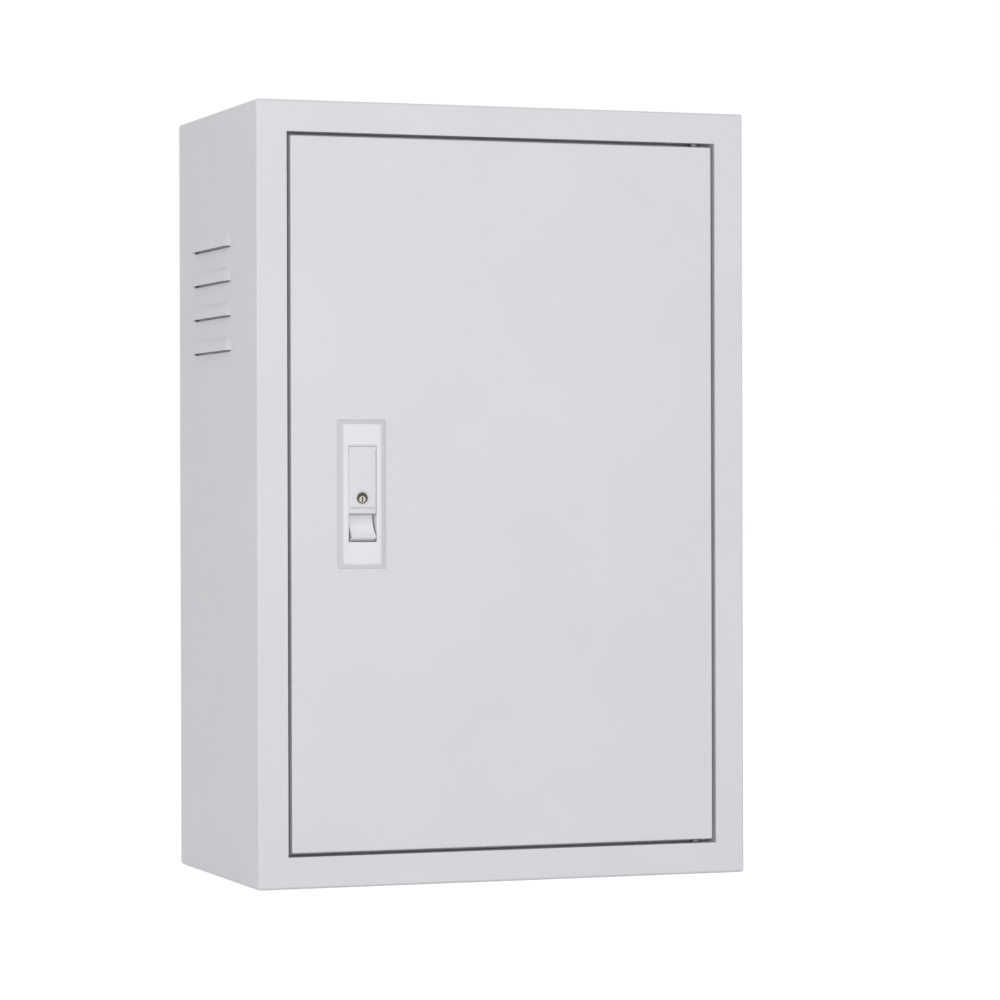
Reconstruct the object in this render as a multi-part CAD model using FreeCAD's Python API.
import FreeCAD, Part
import math
import os

# Wall-mounted motor control cabinet: a folded sheet-steel body with an inset door and a flush lock,
# and inside it the mounting plate with a reversing motor starter.
# X runs to the right as seen from the front, Y runs from the door into the cabinet, Z runs up.
# A depth is measured inwards from the front face of the body, in millimetres like every size here.
# A reach is measured forwards from the front face of the mounting plate.

V = FreeCAD.Vector
RIGHT = V(1, 0, 0)
INWARD = V(0, 1, 0)
UP = V(0, 0, 1)

# Body
BODY_WIDTH = 400.0
BODY_HEIGHT = 600.0
BODY_DEPTH = 225.0
BODY_SHEET = 1.5
BODY_BEND = 2.0
FLANGE_WIDTH = 24.0
LIP_WIDTH = 25.0

# Louvres, pressed outwards in both side walls
LOUVRE_COUNT = 4
LOUVRE_LENGTH = 108.0
LOUVRE_HEIGHT = 11.0
LOUVRE_RISE = 4.5
LOUVRE_SLIT = 1.0
LOUVRE_PITCH = 27.0
LOUVRE_FRONT = 71.5
LOUVRE_DROP = 107.0

# Door, with folded edges and an inner hem that carries the seal
DOOR_GAP = 3.0
DOOR_SHEET = 1.5
DOOR_FOLD = 15.0
DOOR_BEND = 1.2
HEM_WIDTH = 20.0
SEAL_HEIGHT = 7.2
SEAL_CLEARANCE = 0.3
SEAL_CORNER = 9.0

# Hinges at the top and bottom of the door's right edge
HINGE_INSET = 12.0
PIN_RADIUS = 2.5
PIN_CLEARANCE = 0.08
PIN_HEAD_RADIUS = 4.2
PIN_HEAD_HEIGHT = 1.6
COLLAR_RADIUS = 4.0
COLLAR_CLEARANCE = 0.3
HINGE_LUG_LENGTH = 24.0
HINGE_LUG_DEPTH = 11.0
HINGE_LUG_SHEET = 3.0
HINGE_BLOCK_LENGTH = 18.0
HINGE_BLOCK_HEIGHT = 11.0

# Wall fixing holes in the back panel, set in from the edges of the body
WALL_HOLE_RADIUS = 4.5
WALL_HOLE_INSET_X = 60.0
WALL_HOLE_INSET_Z = 25.0

# Stiffener, document pocket and earth stud on the inside of the door
STIFFENER_DROP = 126.0
STIFFENER_CROWN = 34.0
STIFFENER_RISE = 10.0
STIFFENER_FOOT = 12.0
STIFFENER_SHEET = 1.2
STIFFENER_END_GAP = 2.0
STIFFENER_HOLE_RADIUS = 4.0
STIFFENER_HOLE_PITCH = 25.0
POCKET_WIDTH = 236.0
POCKET_DEPTH = 20.0
POCKET_WALL = 2.0
POCKET_LIFT = 54.0
POCKET_LOCK_GAP = 15.0
POCKET_NOTCH_WIDTH = 90.0
POCKET_NOTCH_DROP = 34.0
POCKET_CORNER = 5.0
DOOR_STUD_RADIUS = 3.0
DOOR_STUD_LENGTH = 16.0
DOOR_STUD_INSET = 28.0
DOOR_STUD_DROP = 38.0
DOOR_STUD_COLLAR = 8.0
DOOR_STUD_COLLAR_HEIGHT = 3.0

# Lock: a bezel with a tub behind it, which holds the lever and the push button
LOCK_INSET = 83.0
BEZEL_WIDTH = 39.0
BEZEL_HEIGHT = 114.0
BEZEL_RISE = 2.5
BEZEL_BEVEL = 3.0
WINDOW_WIDTH = 22.5
WINDOW_HEIGHT = 74.5
WINDOW_LIFT = 0.75
TUB_WALL = 2.0
TUB_CLEARANCE = 0.5
LOCK_CLEARANCE = 0.25
LEVER_THICKNESS = 7.0
LEVER_END_RADIUS = 4.7
LEVER_END_GAP = 0.3
LEVER_BUTTON_GAP = 0.5
LEVER_STRIP = 4.3
LEVER_STRIP_DROP = 1.2
LEVER_GROOVE = 0.7
LEVER_EDGE = 1.3
LEVER_PIN_RADIUS = 1.5
LEVER_PIN_CLEARANCE = 0.06
KEY_LIFT = 11.7
KEY_RADIUS = 4.4
KEY_CLEARANCE = 0.08
KEY_RECESS = 0.6
KEY_SLOT_WIDTH = 1.3
KEY_SLOT_LENGTH = 3.8
KEY_SLOT_DEPTH = 3.0
KEY_CUP_RADIUS = 3.9
KEY_CUP_DEPTH = 2.6
KEY_CORE_RADIUS = 2.6
KEY_CORE_DROP = 0.9
KEY_RIM = 1.0
KEY_RIM_DEPTH = 0.8
KEY_BOSS_WALL = 2.1
KEY_BOSS_DEPTH = 14.5
KEY_TAIL_LENGTH = 15.0
KEY_TAIL_WIDTH = 3.5
KEY_TAIL_THICKNESS = 1.0
BUTTON_HEIGHT = 21.0
BUTTON_SIDE_GAP = 1.1
BUTTON_DIP = 7.0
BUTTON_CREST_RISE = 3.2
BUTTON_CREST_DROP = 16.8
BUTTON_CREST_LENGTH = 0.8
BUTTON_TOE_DIP = 2.5
BUTTON_BACK = 12.0
BUTTON_TRAVEL = 3.0
BUTTON_STOP_GAP = 1.0
BUTTON_EDGE = 0.6
ROTOR_DROP = 11.0
ROTOR_RADIUS = 9.5
ROTOR_FACE = 7.0
ROTOR_NECK_RADIUS = 7.0
ROTOR_CLEARANCE = 0.08
ROTOR_FLOOR_GAP = 0.2
SPINDLE_SQUARE = 7.0
SPINDLE_STUD_RADIUS = 3.0
CAM_LENGTH = 45.0
CAM_WIDTH = 18.0
CAM_SHEET = 2.5
CAM_LIP_CLEARANCE = 1.2
CAM_NUT_FLATS = 10.0
CAM_NUT_HEIGHT = 5.0
CAM_WASHER_RADIUS = 6.5
CAM_WASHER_HEIGHT = 1.2
LOCK_SCREW_SPAN = 99.0
LOCK_SCREW_RADIUS = 1.6
LOCK_SCREW_HEAD_RADIUS = 3.2
LOCK_SCREW_HEAD_HEIGHT = 2.2
LOCK_SCREW_BITE = 1.2
LOCK_BOSS_RADIUS = 3.6
LOCK_CLAMP_LENGTH = 34.0
LOCK_CLAMP_WIDTH = 9.5
LOCK_CLAMP_SHEET = 2.0

# Cable entry in the floor of the body
ENTRY_WIDTH = 220.0
ENTRY_LENGTH = 90.0
ENTRY_BACK_GAP = 32.5
GLAND_PLATE_MARGIN = 18.0
GLAND_PLATE_SHEET = 2.0
GLAND_SEAL_HEIGHT = 2.0
GLAND_STUD_RADIUS = 2.5
GLAND_STUD_LENGTH = 12.0
GLAND_NUT_FLATS = 8.0
GLAND_NUT_HEIGHT = 4.0
GROMMET_COUNT = 3
GROMMET_PITCH = 70.0
GROMMET_HOLE_RADIUS = 16.0
GROMMET_FLANGE = 3.0
GROMMET_FLANGE_HEIGHT = 1.8
GROMMET_CONE_HEIGHT = 9.0
GROMMET_TIP_RADIUS = 6.0
GROMMET_SKIN = 1.5

# Mounting plate on four welded studs
PLATE_MARGIN_X = 35.0
PLATE_MARGIN_Z = 40.0
PLATE_SHEET = 2.0
PLATE_FOLD = 10.0
PLATE_STANDOFF = 18.0
PLATE_STUD_RADIUS = 3.0
PLATE_STUD_INSET_X = 15.0
PLATE_STUD_INSET_Z = 10.0
PLATE_STUD_END = 2.5
PLATE_SPACER_RADIUS = 6.0
PLATE_NUT_FLATS = 10.0
PLATE_NUT_HEIGHT = 5.0
PLATE_WASHER_RADIUS = 6.5
PLATE_WASHER_HEIGHT = 1.2

# Slotted wiring ducts
DUCT_WIDTH = 30.0
DUCT_RISE = 50.0
DUCT_WALL = 1.5
DUCT_SLOT = 7.0
DUCT_SLOT_PITCH = 20.0
DUCT_SLOT_FLOOR = 14.0
DUCT_COVER_SHEET = 1.5
DUCT_COVER_LIP = 6.0
DUCT_END_GAP = 2.0
DUCT_CORNER_GAP = 25.0

# Top-hat rails and the pan-head screws that hold them and the ducts
RAIL_HEIGHT = 35.0
RAIL_CHANNEL = 27.0
RAIL_RISE = 7.5
RAIL_SHEET = 1.0
HOOK_SHEET = 1.6
HOOK_BITE = 2.0
SCREW_RADIUS = 2.0
SCREW_HEAD_RADIUS = 3.8
SCREW_HEAD_HEIGHT = 2.4
SCREW_END = 2.0
SCREW_INSET = 12.0
RAIL_END_GAP = 6.0

# Main circuit breaker, bolted straight to the plate beside the left duct
BREAKER_DUCT_GAP = 5.0
BREAKER_RAIL_GAP = 12.0
BREAKER_WIDTH = 76.0
BREAKER_HEIGHT = 130.0
BREAKER_SHELF_RISE = 44.0
BREAKER_SHELF_HEIGHT = 27.0
BREAKER_FACE_RISE = 60.0
BREAKER_NOSE_RISE = 70.0
BREAKER_NOSE_WIDTH = 46.0
BREAKER_NOSE_HEIGHT = 52.0
BREAKER_POLES = 3
BREAKER_POLE_PITCH = 25.0
BREAKER_POCKET_WIDTH = 19.0
BREAKER_POCKET_HEIGHT = 22.0
BREAKER_POCKET_DEPTH = 18.0
BREAKER_TAB_WIDTH = 14.0
BREAKER_TAB_HEIGHT = 20.0
BREAKER_TAB_SHEET = 3.0
BREAKER_BOLT_DROP = 8.0
BREAKER_BOLT_RADIUS = 1.8
BREAKER_BOLT_HEAD_RADIUS = 2.9
BREAKER_PIVOT_RISE = 52.0
BREAKER_HUB_RADIUS = 9.0
BREAKER_HANDLE_WIDTH = 11.0
BREAKER_HANDLE_THICKNESS = 8.0
BREAKER_HANDLE_LENGTH = 32.0

# Two-pole control circuit breaker on the upper rail
CONTROL_RAIL_INSET = 26.0
CONTROL_WIDTH = 36.0
CONTROL_HEIGHT = 82.0
CONTROL_SHELF_RISE = 50.0
CONTROL_FACE_RISE = 67.0
CONTROL_FACE_HEIGHT = 45.0
CONTROL_POLES = 2
CONTROL_PIVOT_RISE = 59.0
CONTROL_HUB_RADIUS = 6.5
CONTROL_HANDLE_WIDTH = 22.0
CONTROL_HANDLE_THICKNESS = 5.0
CONTROL_HANDLE_LENGTH = 19.0

# Toggles of both breakers lean this far either side of square to the plate
TOGGLE_LEAN = 18.0
TOGGLE_CLEARANCE = 0.3

# Contactors side by side on the starter rail
CONTACTOR_RAIL_INSET = 59.5
CONTACTOR_GAP = 9.0
CONTACTOR_WIDTH = 45.0
CONTACTOR_HEIGHT = 76.0
CONTACTOR_BASE_RISE = 50.0
CONTACTOR_HEAD_RISE = 82.0
CONTACTOR_HEAD_HEIGHT = 52.0
CONTACTOR_NOSE_RISE = 88.0
CONTACTOR_NOSE_WIDTH = 33.0
CONTACTOR_NOSE_HEIGHT = 30.0
CONTACTOR_POLES = 3
CONTACTOR_POLE_PITCH = 13.5
CONTACTOR_POCKET_WIDTH = 10.5
CONTACTOR_POCKET_HEIGHT = 11.0
CONTACTOR_POCKET_DEPTH = 14.0
ARMATURE_WIDTH = 12.0
ARMATURE_HEIGHT = 15.0
ARMATURE_LENGTH = 12.0
ARMATURE_PROUD = 1.5
ARMATURE_TRAVEL = 3.0
ARMATURE_CLEARANCE = 0.3

# Overload relay, plugged into the lower terminals of the forward contactor
OVERLOAD_HEIGHT = 50.0
OVERLOAD_GAP = 3.0
OVERLOAD_SHELF_RISE = 46.0
OVERLOAD_SHELF_HEIGHT = 14.0
OVERLOAD_FACE_RISE = 72.0
PRONG_WIDTH = 7.0
PRONG_SHEET = 2.0
PRONG_BITE = 9.0
PRONG_ROOT = 6.0
DIAL_RADIUS = 6.5
DIAL_SEAT_DEPTH = 3.0
DIAL_CLEARANCE = 0.08
DIAL_SLOT_WIDTH = 1.2
DIAL_SLOT_DEPTH = 1.2
DIAL_LIFT = 5.0
DIAL_OFFSET = 11.0
OVERLOAD_BUTTON_WIDTH = 8.0
OVERLOAD_BUTTON_HEIGHT = 8.0
OVERLOAD_BUTTON_LENGTH = 9.0
OVERLOAD_BUTTON_PROUD = 2.5
OVERLOAD_BUTTON_TRAVEL = 2.0
OVERLOAD_BUTTON_CLEARANCE = 0.25
OVERLOAD_BUTTON_PITCH = 13.0
OVERLOAD_BUTTON_OFFSET = -11.5

# Terminal screws of the starter gear
TERMINAL_SCREW_RADIUS = 3.2
TERMINAL_SCREW_HEIGHT = 2.6
TERMINAL_WASHER = 8.0
TERMINAL_WASHER_SHEET = 2.0

# Terminal strip and earth bar along the bottom of the plate
TERMINAL_COUNT = 18
TERMINAL_PITCH = 6.2
TERMINAL_WIDTH = 6.0
TERMINAL_HEIGHT = 44.0
TERMINAL_RISE = 46.0
TERMINAL_SHOULDER_RISE = 30.0
TERMINAL_SHOULDER = 12.0
TERMINAL_NOTCH = 5.0
TERMINAL_RAIL_INSET = 37.0
END_CLAMP_WIDTH = 8.0
END_CLAMP_HEIGHT = 38.0
END_CLAMP_RISE = 38.0
EARTH_BAR_LENGTH = 150.0
EARTH_BAR_HEIGHT = 11.0
EARTH_BAR_THICKNESS = 6.0
EARTH_BAR_RISE = 16.0
EARTH_BAR_FOOT = 10.0
EARTH_SCREW_COUNT = 10
EARTH_SCREW_PITCH = 12.0
EARTH_SCREW_RADIUS = 3.0
EARTH_SCREW_HEIGHT = 3.0

# Tolerance for picking an edge by its place
NEAR = 0.01

# Places that follow from the sizes above
LOCK_REACH = BEZEL_RISE + BUTTON_CREST_RISE
FRONT_Y = -(BODY_DEPTH - LOCK_REACH) / 2
HALF_WIDTH = BODY_WIDTH / 2
BACK_FACE = BODY_DEPTH - BODY_SHEET
WALL_SPAN_X = BODY_WIDTH - 2 * WALL_HOLE_INSET_X
WALL_SPAN_Z = BODY_HEIGHT - 2 * WALL_HOLE_INSET_Z
OPENING_HALF = HALF_WIDTH - FLANGE_WIDTH
OPENING_FLOOR = FLANGE_WIDTH
OPENING_TOP = BODY_HEIGHT - FLANGE_WIDTH
LIP_FACE = DOOR_FOLD + SEAL_HEIGHT + SEAL_CLEARANCE
LIP_BACK = LIP_FACE + BODY_SHEET
PIVOT_X = OPENING_HALF - DOOR_GAP - HINGE_INSET
PIVOT_DEPTH = DOOR_FOLD / 2
DOOR_INSIDE = DOOR_SHEET
HEM_BACK = DOOR_FOLD
HEM_FRONT = DOOR_FOLD - DOOR_SHEET
HEM_HALF = OPENING_HALF - DOOR_GAP - HEM_WIDTH
LOCK_X = LOCK_INSET - HALF_WIDTH
LOCK_Z = BODY_HEIGHT / 2
STIFFENER_Z = OPENING_TOP - STIFFENER_DROP
POCKET_FLOOR_Z = OPENING_FLOOR + POCKET_LIFT
POCKET_TOP_Z = LOCK_Z - BEZEL_HEIGHT / 2 - POCKET_LOCK_GAP
DOOR_STUD_X = HEM_HALF - DOOR_STUD_INSET
DOOR_STUD_Z = LOCK_Z - DOOR_STUD_DROP
BEZEL_FACE = -BEZEL_RISE
WINDOW_TOP = LOCK_Z + WINDOW_LIFT + WINDOW_HEIGHT / 2
WINDOW_BOTTOM = WINDOW_TOP - WINDOW_HEIGHT
LEVER_PIVOT_Z = WINDOW_TOP - LEVER_END_GAP - LEVER_END_RADIUS
LEVER_PIVOT_DEPTH = BEZEL_FACE + LEVER_THICKNESS / 2
BUTTON_BOTTOM = WINDOW_BOTTOM + LOCK_CLEARANCE
BUTTON_TOP = BUTTON_BOTTOM + BUTTON_HEIGHT
LEVER_BOTTOM = BUTTON_TOP + LEVER_BUTTON_GAP
KEY_Z = LEVER_BOTTOM + KEY_LIFT
ROTOR_Z = LEVER_PIVOT_Z - ROTOR_DROP
TUB_FLOOR = BUTTON_BACK + BUTTON_TRAVEL + BUTTON_STOP_GAP
TUB_DEPTH = TUB_FLOOR + TUB_WALL
CAM_FACE = LIP_BACK + CAM_LIP_CLEARANCE
CAM_BACK = CAM_FACE + CAM_SHEET
ENTRY_DEPTH = BACK_FACE - ENTRY_BACK_GAP - GLAND_PLATE_MARGIN - ENTRY_LENGTH / 2
PLATE_FACE = BACK_FACE - PLATE_STANDOFF - PLATE_SHEET
PLATE_BACK = PLATE_FACE + PLATE_SHEET
PLATE_WIDTH = BODY_WIDTH - 2 * PLATE_MARGIN_X
PLATE_FLOOR = PLATE_MARGIN_Z
PLATE_TOP = BODY_HEIGHT - PLATE_MARGIN_Z
DUCT_X = PLATE_WIDTH / 2 - DUCT_WIDTH / 2
LEVEL_DUCT_HALF = PLATE_WIDTH / 2 - DUCT_WIDTH - DUCT_END_GAP
UPRIGHT_DUCT_FLOOR = PLATE_FLOOR + DUCT_CORNER_GAP
UPRIGHT_DUCT_TOP = PLATE_TOP - DUCT_CORNER_GAP
GLAND_PLATE_FLOOR = BODY_SHEET + GLAND_SEAL_HEIGHT
GLAND_PLATE_TOP = GLAND_PLATE_FLOOR + GLAND_PLATE_SHEET
RAIL_LEFT = RAIL_END_GAP - LEVEL_DUCT_HALF
RAIL_RIGHT = LEVEL_DUCT_HALF - RAIL_END_GAP
BREAKER_X = BREAKER_DUCT_GAP + BREAKER_WIDTH / 2 - LEVEL_DUCT_HALF
UPPER_RAIL_LEFT = BREAKER_X + BREAKER_WIDTH / 2 + BREAKER_RAIL_GAP
CONTROL_X = UPPER_RAIL_LEFT + CONTROL_RAIL_INSET + CONTROL_WIDTH / 2
CONTACTOR_FORWARD_X = RAIL_LEFT + CONTACTOR_RAIL_INSET + CONTACTOR_WIDTH / 2
CONTACTOR_REVERSE_X = CONTACTOR_FORWARD_X + CONTACTOR_WIDTH + CONTACTOR_GAP
TERMINAL_LEFT = RAIL_LEFT + TERMINAL_RAIL_INSET

# Rows of gear from the top of the plate to its bottom, with the same gap above, between and below them
DUCT_ROW = DUCT_WIDTH + 2 * DUCT_COVER_SHEET
STARTER_ROW = CONTACTOR_HEIGHT + OVERLOAD_GAP + OVERLOAD_HEIGHT
ROWS = (BREAKER_HEIGHT, DUCT_ROW, STARTER_ROW, DUCT_ROW, TERMINAL_HEIGHT, EARTH_BAR_HEIGHT)
ROW_GAP = (PLATE_TOP - PLATE_FLOOR - sum(ROWS)) / (len(ROWS) + 1)
BREAKER_Z = PLATE_TOP - ROW_GAP - BREAKER_HEIGHT / 2
UPPER_RAIL_Z = BREAKER_Z
MIDDLE_DUCT_Z = BREAKER_Z - BREAKER_HEIGHT / 2 - ROW_GAP - DUCT_ROW / 2
STARTER_RAIL_Z = MIDDLE_DUCT_Z - DUCT_ROW / 2 - ROW_GAP - CONTACTOR_HEIGHT / 2
CONTACTOR_POCKET_RISE = CONTACTOR_BASE_RISE - CONTACTOR_POCKET_DEPTH
TERMINAL_SEAT_RISE = CONTACTOR_POCKET_RISE + TERMINAL_WASHER_SHEET
OVERLOAD_TOP = STARTER_RAIL_Z - CONTACTOR_HEIGHT / 2 - OVERLOAD_GAP
OVERLOAD_BOTTOM = OVERLOAD_TOP - OVERLOAD_HEIGHT
LOWER_DUCT_Z = OVERLOAD_BOTTOM - ROW_GAP - DUCT_ROW / 2
TERMINAL_RAIL_Z = LOWER_DUCT_Z - DUCT_ROW / 2 - ROW_GAP - TERMINAL_HEIGHT / 2
EARTH_BAR_Z = TERMINAL_RAIL_Z - TERMINAL_HEIGHT / 2 - ROW_GAP - EARTH_BAR_HEIGHT / 2


def y_at(depth):
    """Y of a depth behind the front face of the body."""
    return FRONT_Y + depth


def off_plate(reach):
    """Depth of a point that stands this far forwards of the mounting plate."""
    return PLATE_FACE - reach


def box(x0, x1, depth0, depth1, z0, z1):
    """Block between two X values, two depths and two heights."""
    return Part.makeBox(x1 - x0, depth1 - depth0, z1 - z0, V(x0, y_at(depth0), z0))


def plate_box(x0, x1, reach0, reach1, z0, z1):
    """Block that stands forwards of the mounting plate between two reaches."""
    return box(x0, x1, off_plate(reach1), off_plate(reach0), z0, z1)


def rod_in(radius, x, depth0, depth1, z):
    """Round bar along Y between two depths."""
    return Part.makeCylinder(radius, depth1 - depth0, V(x, y_at(depth0), z), INWARD)


def plate_rod(radius, x, reach0, reach1, z):
    """Round bar along Y between two reaches from the mounting plate."""
    return rod_in(radius, x, off_plate(reach1), off_plate(reach0), z)


def rod_across(radius, x0, x1, depth, z):
    """Round bar along X."""
    return Part.makeCylinder(radius, x1 - x0, V(x0, y_at(depth), z), RIGHT)


def rod_up(radius, x, depth, z0, z1):
    """Round bar along Z."""
    return Part.makeCylinder(radius, z1 - z0, V(x, y_at(depth), z0), UP)


def prism(corners, sweep):
    """Straight extrusion of a closed outline."""
    return Part.Face(Part.makePolygon(corners + corners[:1])).extrude(sweep)


def prism_across(outline, x0, x1):
    """Extrusion along X of an outline given as (depth, z) points."""
    return prism([V(x0, y_at(depth), z) for depth, z in outline], V(x1 - x0, 0, 0))


def nut(flats, x, depth, z, height, bore, sweep):
    """Hexagon nut with its hole, starting at a depth and built along the sweep direction."""
    corner = flats / math.sqrt(3)
    side = UP if sweep.z == 0 else RIGHT
    start = V(x, y_at(depth), z)
    corners = []
    for step in range(6):
        turn = FreeCAD.Rotation(sweep, 60 * step)
        corners.append(start + turn.multVec(side * corner))
    body = prism(corners, sweep * height)
    return body.cut(Part.makeCylinder(bore, height, start, sweep))


def join(shapes):
    """One solid from shapes that touch or overlap."""
    return shapes[0].multiFuse(shapes[1:]).removeSplitter()


def group(shapes):
    """Separate solids kept side by side."""
    return Part.makeCompound(shapes)


def fillet(shape, radius, chosen):
    """Rounds the edges that the test picks."""
    return shape.makeFillet(radius, [edge for edge in shape.Edges if chosen(edge)])


def runs_along(edge, axis):
    """True for a straight edge parallel to an axis."""
    span = edge.Vertexes[-1].Point - edge.Vertexes[0].Point
    return span.Length > 0 and abs(span.dot(axis)) > 0.999 * span.Length


def opening_block(margin, depth0, depth1):
    """Block over the door opening, grown outwards by a margin."""
    half = OPENING_HALF + margin
    return box(-half, half, depth0, depth1, OPENING_FLOOR - margin, OPENING_TOP + margin)


def opening_ring(outer, inner, depth0, depth1):
    """Rectangular ring between two margins round the door opening."""
    return opening_block(outer, depth0, depth1).cut(opening_block(inner, depth0, depth1))


# Body and its frame


def louvre_bulge(inset, z, drop):
    """Pressed bulge on the left wall, sliced off a round-ended bar; the inset makes the hollow inside it."""
    bar = (LOUVRE_RISE ** 2 + LOUVRE_HEIGHT ** 2) / (2 * LOUVRE_RISE)
    axis_x = -HALF_WIDTH - LOUVRE_RISE + bar
    front = LOUVRE_FRONT + LOUVRE_HEIGHT
    back = LOUVRE_FRONT + LOUVRE_LENGTH - LOUVRE_HEIGHT
    radius = bar - inset
    shaft = rod_in(radius, axis_x, front, back, z)
    ends = [Part.makeSphere(radius, V(axis_x, y_at(depth), z)) for depth in (front, back)]
    slice_block = box(-HALF_WIDTH - LOUVRE_RISE, -HALF_WIDTH + BODY_SHEET, LOUVRE_FRONT - LOUVRE_HEIGHT,
                      LOUVRE_FRONT + LOUVRE_LENGTH + LOUVRE_HEIGHT, z - drop, z + bar)
    return join([shaft] + ends).common(slice_block)


def body_wrap():
    """Four walls and the front flange, folded from one sheet, with the louvres and the floor studs."""
    outer = box(-HALF_WIDTH, HALF_WIDTH, 0, BODY_DEPTH, 0, BODY_HEIGHT)
    outer = fillet(outer, BODY_BEND, lambda edge: edge.BoundBox.YMin < y_at(BACK_FACE))
    inside = HALF_WIDTH - BODY_SHEET
    room = box(-inside, inside, BODY_SHEET, BODY_DEPTH, BODY_SHEET, BODY_HEIGHT - BODY_SHEET)
    hoods = []
    hollows = []
    for step in range(LOUVRE_COUNT):
        z = BODY_HEIGHT - LOUVRE_DROP - step * LOUVRE_PITCH
        hoods.append(louvre_bulge(0, z, 0))
        hollows.append(louvre_bulge(BODY_SHEET, z, LOUVRE_SLIT))
    mirrored = [[shape.mirror(V(), RIGHT) for shape in side] for side in (hoods, hollows)]
    wall = outer.multiFuse(hoods + mirrored[0])
    wall = wall.cut([room, opening_block(0, 0, BODY_SHEET), entry_block(0, 0, BODY_SHEET)])
    wall = wall.cut(hollows + mirrored[1])
    studs = [rod_up(GLAND_STUD_RADIUS, x, depth, BODY_SHEET, BODY_SHEET + GLAND_STUD_LENGTH)
             for x, depth in gland_stud_places()]
    return join([wall] + studs)


def inner_frame():
    """Ring behind the front flange: a leg that lines the door opening and the stop lip for the seal."""
    leg = opening_ring(BODY_SHEET, 0, BODY_SHEET, LIP_BACK)
    lip = opening_ring(0, -LIP_WIDTH, LIP_FACE, LIP_BACK)
    frame = join([leg, lip])
    return frame.cut([hinge_rod(PIN_RADIUS, end, 0, BODY_SHEET) for end in ("top", "bottom")])


def back_panel():
    """Rear sheet between the walls, with the wall fixing holes and the studs for the mounting plate."""
    inside = HALF_WIDTH - BODY_SHEET
    sheet = box(-inside, inside, BACK_FACE, BODY_DEPTH, BODY_SHEET, BODY_HEIGHT - BODY_SHEET)
    middle = BODY_HEIGHT / 2
    for x in (-WALL_SPAN_X / 2, WALL_SPAN_X / 2):
        for z in (middle - WALL_SPAN_Z / 2, middle + WALL_SPAN_Z / 2):
            sheet = sheet.cut(rod_in(WALL_HOLE_RADIUS, x, BACK_FACE, BODY_DEPTH, z))
    tip = PLATE_FACE - PLATE_WASHER_HEIGHT - PLATE_NUT_HEIGHT - PLATE_STUD_END
    studs = [rod_in(PLATE_STUD_RADIUS, x, tip, BACK_FACE, z) for x, z in plate_stud_places()]
    return join([sheet] + studs)


# Cable entry


def entry_block(margin, z0, z1):
    """Block over the cable entry in the floor, grown by a margin."""
    half_width = ENTRY_WIDTH / 2 + margin
    half_length = ENTRY_LENGTH / 2 + margin
    return box(-half_width, half_width, ENTRY_DEPTH - half_length, ENTRY_DEPTH + half_length, z0, z1)


def gland_stud_places():
    """Stud positions round the cable entry, three along each long side."""
    x = ENTRY_WIDTH / 2 + GLAND_PLATE_MARGIN / 2
    depth = ENTRY_LENGTH / 2 + GLAND_PLATE_MARGIN / 2
    return [(i * x, ENTRY_DEPTH + side * depth) for side in (-1, 1) for i in (-1, 0, 1)]


def gland_plate():
    """Removable plate over the cable entry, drilled for the grommets."""
    plate = entry_block(GLAND_PLATE_MARGIN, GLAND_PLATE_FLOOR, GLAND_PLATE_TOP)
    holes = [rod_up(GLAND_STUD_RADIUS, x, depth, GLAND_PLATE_FLOOR, GLAND_PLATE_TOP)
             for x, depth in gland_stud_places()]
    holes += [rod_up(GROMMET_HOLE_RADIUS, x, ENTRY_DEPTH, GLAND_PLATE_FLOOR, GLAND_PLATE_TOP)
              for x in grommet_places()]
    return plate.cut(holes)


def gland_seal():
    """Flat rubber seal between the floor and the gland plate."""
    seal = entry_block(GLAND_PLATE_MARGIN, BODY_SHEET, GLAND_PLATE_FLOOR)
    holes = [rod_up(GLAND_STUD_RADIUS, x, depth, BODY_SHEET, GLAND_PLATE_FLOOR)
             for x, depth in gland_stud_places()]
    return seal.cut([entry_block(0, BODY_SHEET, GLAND_PLATE_FLOOR)] + holes)


def gland_nuts():
    """Hexagon nuts on the gland plate's studs."""
    return group([nut(GLAND_NUT_FLATS, x, depth, GLAND_PLATE_TOP, GLAND_NUT_HEIGHT, GLAND_STUD_RADIUS, UP)
                  for x, depth in gland_stud_places()])


def grommet_places():
    """X of each grommet."""
    first = -GROMMET_PITCH * (GROMMET_COUNT - 1) / 2
    return [first + i * GROMMET_PITCH for i in range(GROMMET_COUNT)]


def cable_grommets():
    """Blind rubber grommets: two flanges grip the plate, and a cone closes the hole until it is cut."""
    outer = GROMMET_HOLE_RADIUS + GROMMET_FLANGE
    low = GLAND_PLATE_FLOOR - GROMMET_FLANGE_HEIGHT
    high = GLAND_PLATE_TOP + GROMMET_FLANGE_HEIGHT
    tip = high + GROMMET_CONE_HEIGHT
    inner = GROMMET_HOLE_RADIUS - GROMMET_SKIN
    profile = [
        (0, tip), (GROMMET_TIP_RADIUS, tip), (GROMMET_HOLE_RADIUS, high), (outer, high),
        (outer, GLAND_PLATE_TOP), (GROMMET_HOLE_RADIUS, GLAND_PLATE_TOP),
        (GROMMET_HOLE_RADIUS, GLAND_PLATE_FLOOR), (outer, GLAND_PLATE_FLOOR), (outer, low),
        (inner, low), (GROMMET_TIP_RADIUS - GROMMET_SKIN, tip - GROMMET_SKIN), (0, tip - GROMMET_SKIN),
    ]
    return group([turned(profile, x, ENTRY_DEPTH) for x in grommet_places()])


def turned(profile, x, depth):
    """Full turn round a vertical axis of an outline given as (radius, z) points."""
    corners = [V(x + radius, y_at(depth), z) for radius, z in profile]
    face = Part.Face(Part.makePolygon(corners + corners[:1]))
    return face.revolve(V(x, y_at(depth), 0), UP, 360)


# Hinges


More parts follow.
